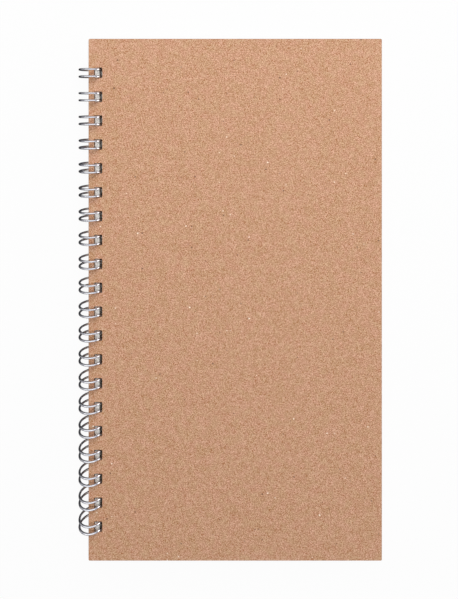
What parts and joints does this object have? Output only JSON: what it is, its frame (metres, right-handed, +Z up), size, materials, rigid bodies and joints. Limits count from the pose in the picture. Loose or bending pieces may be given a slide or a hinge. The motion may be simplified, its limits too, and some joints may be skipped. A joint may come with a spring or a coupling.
{
  "type": "wire-bound sketchbook",
  "caption": "Tall pocket sketchbook of plain drawing leaves between kraft board covers, bound along its long edge by a metal twin-loop wire; the cover and leaves turn on the wire.",
  "frame": {"origin": "under the middle of the closed book, on the table that its wire tips and its back cover's fore-edge touch", "axes": "+Y up along the spine, +X from the spine to the fore-edge, +Z up out of the front cover"},
  "size_m": [0.1092, 0.185, 0.0094],
  "materials": {
    "kraft_board": "uncoated kraft board, matt, fine mottled fibre",
    "drawing_paper": "uncoated off-white drawing paper, matt",
    "binding_wire": "bright nickel-plated round wire"
  },
  "bodies": {
    "binding": {"back_cover": "kraft_board", "twin_loop_wire_1": "binding_wire", "twin_loop_wire_2": "binding_wire", "twin_loop_wire_3": "binding_wire", "twin_loop_wire_4": "binding_wire", "twin_loop_wire_5": "binding_wire"},
    "front_cover": {"front_cover": "kraft_board"},
    "leaf_01": {"leaf_01": "drawing_paper"},
    "leaf_02": {"leaf_02": "drawing_paper"},
    "leaf_03": {"leaf_03": "drawing_paper"},
    "leaf_04": {"leaf_04": "drawing_paper"},
    "leaf_05": {"leaf_05": "drawing_paper"},
    "leaf_06": {"leaf_06": "drawing_paper"},
    "leaf_07": {"leaf_07": "drawing_paper"},
    "leaf_08": {"leaf_08": "drawing_paper"},
    "leaf_09": {"leaf_09": "drawing_paper"},
    "leaf_10": {"leaf_10": "drawing_paper"},
    "leaf_11": {"leaf_11": "drawing_paper"},
    "leaf_12": {"leaf_12": "drawing_paper"},
    "leaf_13": {"leaf_13": "drawing_paper"},
    "leaf_14": {"leaf_14": "drawing_paper"},
    "leaf_15": {"leaf_15": "drawing_paper"},
    "leaf_16": {"leaf_16": "drawing_paper"},
    "leaf_17": {"leaf_17": "drawing_paper"},
    "leaf_18": {"leaf_18": "drawing_paper"},
    "leaf_19": {"leaf_19": "drawing_paper"},
    "leaf_20": {"leaf_20": "drawing_paper"},
    "leaf_21": {"leaf_21": "drawing_paper"},
    "leaf_22": {"leaf_22": "drawing_paper"},
    "leaf_23": {"leaf_23": "drawing_paper"},
    "leaf_24": {"leaf_24": "drawing_paper"},
    "leaf_25": {"leaf_25": "drawing_paper"},
    "leaf_26": {"leaf_26": "drawing_paper"},
    "leaf_27": {"leaf_27": "drawing_paper"},
    "leaf_28": {"leaf_28": "drawing_paper"},
    "leaf_29": {"leaf_29": "drawing_paper"},
    "leaf_30": {"leaf_30": "drawing_paper"},
    "leaf_31": {"leaf_31": "drawing_paper"},
    "leaf_32": {"leaf_32": "drawing_paper"}
  },
  "joints": [
    {"name": "front_cover_turn", "type": "hinge", "parent": "binding", "child": "front_cover", "pos_m": [-0.04998, 0, 0.00478], "axis": [0, -1, 0], "range_deg": [0, 182.32]},
    {"name": "leaf_01_turn", "type": "hinge", "parent": "binding", "child": "leaf_01", "pos_m": [-0.04998, 0, 0.00478], "axis": [0, -1, 0], "range_deg": [0, 176.58]},
    {"name": "leaf_02_turn", "type": "hinge", "parent": "binding", "child": "leaf_02", "pos_m": [-0.04998, 0, 0.00478], "axis": [0, -1, 0], "range_deg": [0, 176.44]},
    {"name": "leaf_03_turn", "type": "hinge", "parent": "binding", "child": "leaf_03", "pos_m": [-0.04998, 0, 0.00478], "axis": [0, -1, 0], "range_deg": [0, 176.24]},
    {"name": "leaf_04_turn", "type": "hinge", "parent": "binding", "child": "leaf_04", "pos_m": [-0.04998, 0, 0.00478], "axis": [0, -1, 0], "range_deg": [0, 175.92]},
    {"name": "leaf_05_turn", "type": "hinge", "parent": "binding", "child": "leaf_05", "pos_m": [-0.04998, 0, 0.00478], "axis": [0, -1, 0], "range_deg": [0, 175.44]},
    {"name": "leaf_06_turn", "type": "hinge", "parent": "binding", "child": "leaf_06", "pos_m": [-0.04998, 0, 0.00478], "axis": [0, -1, 0], "range_deg": [0, 174.72]},
    {"name": "leaf_07_turn", "type": "hinge", "parent": "binding", "child": "leaf_07", "pos_m": [-0.04998, 0, 0.00478], "axis": [0, -1, 0], "range_deg": [0, 173.64]},
    {"name": "leaf_08_turn", "type": "hinge", "parent": "binding", "child": "leaf_08", "pos_m": [-0.04998, 0, 0.00478], "axis": [0, -1, 0], "range_deg": [0, 172.03]},
    {"name": "leaf_09_turn", "type": "hinge", "parent": "binding", "child": "leaf_09", "pos_m": [-0.04998, 0, 0.00478], "axis": [0, -1, 0], "range_deg": [0, 169.64]},
    {"name": "leaf_10_turn", "type": "hinge", "parent": "binding", "child": "leaf_10", "pos_m": [-0.04998, 0, 0.00478], "axis": [0, -1, 0], "range_deg": [0, 166.14]},
    {"name": "leaf_11_turn", "type": "hinge", "parent": "binding", "child": "leaf_11", "pos_m": [-0.04998, 0, 0.00478], "axis": [0, -1, 0], "range_deg": [0, 161.12]},
    {"name": "leaf_12_turn", "type": "hinge", "parent": "binding", "child": "leaf_12", "pos_m": [-0.04998, 0, 0.00478], "axis": [0, -1, 0], "range_deg": [0, 154.06]},
    {"name": "leaf_13_turn", "type": "hinge", "parent": "binding", "child": "leaf_13", "pos_m": [-0.04998, 0, 0.00478], "axis": [0, -1, 0], "range_deg": [0, 144.51]},
    {"name": "leaf_14_turn", "type": "hinge", "parent": "binding", "child": "leaf_14", "pos_m": [-0.04998, 0, 0.00478], "axis": [0, -1, 0], "range_deg": [0, 132.15]},
    {"name": "leaf_15_turn", "type": "hinge", "parent": "binding", "child": "leaf_15", "pos_m": [-0.04998, 0, 0.00478], "axis": [0, -1, 0], "range_deg": [0, 117.1]},
    {"name": "leaf_16_turn", "type": "hinge", "parent": "binding", "child": "leaf_16", "pos_m": [-0.04998, 0, 0.00478], "axis": [0, -1, 0], "range_deg": [0, 100.06]},
    {"name": "leaf_17_turn", "type": "hinge", "parent": "binding", "child": "leaf_17", "pos_m": [-0.04998, 0, 0.00478], "axis": [0, -1, 0], "range_deg": [0, 82.27]},
    {"name": "leaf_18_turn", "type": "hinge", "parent": "binding", "child": "leaf_18", "pos_m": [-0.04998, 0, 0.00478], "axis": [0, -1, 0], "range_deg": [0, 65.22]},
    {"name": "leaf_19_turn", "type": "hinge", "parent": "binding", "child": "leaf_19", "pos_m": [-0.04998, 0, 0.00478], "axis": [0, -1, 0], "range_deg": [0, 50.17]},
    {"name": "leaf_20_turn", "type": "hinge", "parent": "binding", "child": "leaf_20", "pos_m": [-0.04998, 0, 0.00478], "axis": [0, -1, 0], "range_deg": [0, 37.81]},
    {"name": "leaf_21_turn", "type": "hinge", "parent": "binding", "child": "leaf_21", "pos_m": [-0.04998, 0, 0.00478], "axis": [0, -1, 0], "range_deg": [0, 28.26]},
    {"name": "leaf_22_turn", "type": "hinge", "parent": "binding", "child": "leaf_22", "pos_m": [-0.04998, 0, 0.00478], "axis": [0, -1, 0], "range_deg": [0, 21.21]},
    {"name": "leaf_23_turn", "type": "hinge", "parent": "binding", "child": "leaf_23", "pos_m": [-0.04998, 0, 0.00478], "axis": [0, -1, 0], "range_deg": [0, 16.18]},
    {"name": "leaf_24_turn", "type": "hinge", "parent": "binding", "child": "leaf_24", "pos_m": [-0.04998, 0, 0.00478], "axis": [0, -1, 0], "range_deg": [0, 12.68]},
    {"name": "leaf_25_turn", "type": "hinge", "parent": "binding", "child": "leaf_25", "pos_m": [-0.04998, 0, 0.00478], "axis": [0, -1, 0], "range_deg": [0, 10.29]},
    {"name": "leaf_26_turn", "type": "hinge", "parent": "binding", "child": "leaf_26", "pos_m": [-0.04998, 0, 0.00478], "axis": [0, -1, 0], "range_deg": [0, 8.68]},
    {"name": "leaf_27_turn", "type": "hinge", "parent": "binding", "child": "leaf_27", "pos_m": [-0.04998, 0, 0.00478], "axis": [0, -1, 0], "range_deg": [0, 7.6]},
    {"name": "leaf_28_turn", "type": "hinge", "parent": "binding", "child": "leaf_28", "pos_m": [-0.04998, 0, 0.00478], "axis": [0, -1, 0], "range_deg": [0, 6.88]},
    {"name": "leaf_29_turn", "type": "hinge", "parent": "binding", "child": "leaf_29", "pos_m": [-0.04998, 0, 0.00478], "axis": [0, -1, 0], "range_deg": [0, 6.4]},
    {"name": "leaf_30_turn", "type": "hinge", "parent": "binding", "child": "leaf_30", "pos_m": [-0.04998, 0, 0.00478], "axis": [0, -1, 0], "range_deg": [0, 6.09]},
    {"name": "leaf_31_turn", "type": "hinge", "parent": "binding", "child": "leaf_31", "pos_m": [-0.04998, 0, 0.00478], "axis": [0, -1, 0], "range_deg": [0, 5.88]},
    {"name": "leaf_32_turn", "type": "hinge", "parent": "binding", "child": "leaf_32", "pos_m": [-0.04998, 0, 0.00478], "axis": [0, -1, 0], "range_deg": [0, 5.74]}
  ],
  "couplings": [
    {"joint": "leaf_01_turn", "follows": "front_cover_turn", "ratio": 0.96853},
    {"joint": "leaf_02_turn", "follows": "front_cover_turn", "ratio": 0.96777},
    {"joint": "leaf_03_turn", "follows": "front_cover_turn", "ratio": 0.96662},
    {"joint": "leaf_04_turn", "follows": "front_cover_turn", "ratio": 0.96489},
    {"joint": "leaf_05_turn", "follows": "front_cover_turn", "ratio": 0.96226},
    {"joint": "leaf_06_turn", "follows": "front_cover_turn", "ratio": 0.95831},
    {"joint": "leaf_07_turn", "follows": "front_cover_turn", "ratio": 0.95239},
    {"joint": "leaf_08_turn", "follows": "front_cover_turn", "ratio": 0.94354},
    {"joint": "leaf_09_turn", "follows": "front_cover_turn", "ratio": 0.93044},
    {"joint": "leaf_10_turn", "follows": "front_cover_turn", "ratio": 0.91127},
    {"joint": "leaf_11_turn", "follows": "front_cover_turn", "ratio": 0.88369},
    {"joint": "leaf_12_turn", "follows": "front_cover_turn", "ratio": 0.84501},
    {"joint": "leaf_13_turn", "follows": "front_cover_turn", "ratio": 0.7926},
    {"joint": "leaf_14_turn", "follows": "front_cover_turn", "ratio": 0.72482},
    {"joint": "leaf_15_turn", "follows": "front_cover_turn", "ratio": 0.64227},
    {"joint": "leaf_16_turn", "follows": "front_cover_turn", "ratio": 0.54878},
    {"joint": "leaf_17_turn", "follows": "front_cover_turn", "ratio": 0.45122},
    {"joint": "leaf_18_turn", "follows": "front_cover_turn", "ratio": 0.35773},
    {"joint": "leaf_19_turn", "follows": "front_cover_turn", "ratio": 0.27518},
    {"joint": "leaf_20_turn", "follows": "front_cover_turn", "ratio": 0.2074},
    {"joint": "leaf_21_turn", "follows": "front_cover_turn", "ratio": 0.15499},
    {"joint": "leaf_22_turn", "follows": "front_cover_turn", "ratio": 0.11631},
    {"joint": "leaf_23_turn", "follows": "front_cover_turn", "ratio": 0.08873},
    {"joint": "leaf_24_turn", "follows": "front_cover_turn", "ratio": 0.06956},
    {"joint": "leaf_25_turn", "follows": "front_cover_turn", "ratio": 0.05646},
    {"joint": "leaf_26_turn", "follows": "front_cover_turn", "ratio": 0.04761},
    {"joint": "leaf_27_turn", "follows": "front_cover_turn", "ratio": 0.04169},
    {"joint": "leaf_28_turn", "follows": "front_cover_turn", "ratio": 0.03774},
    {"joint": "leaf_29_turn", "follows": "front_cover_turn", "ratio": 0.03511},
    {"joint": "leaf_30_turn", "follows": "front_cover_turn", "ratio": 0.03338},
    {"joint": "leaf_31_turn", "follows": "front_cover_turn", "ratio": 0.03223},
    {"joint": "leaf_32_turn", "follows": "front_cover_turn", "ratio": 0.03147}
  ]
}
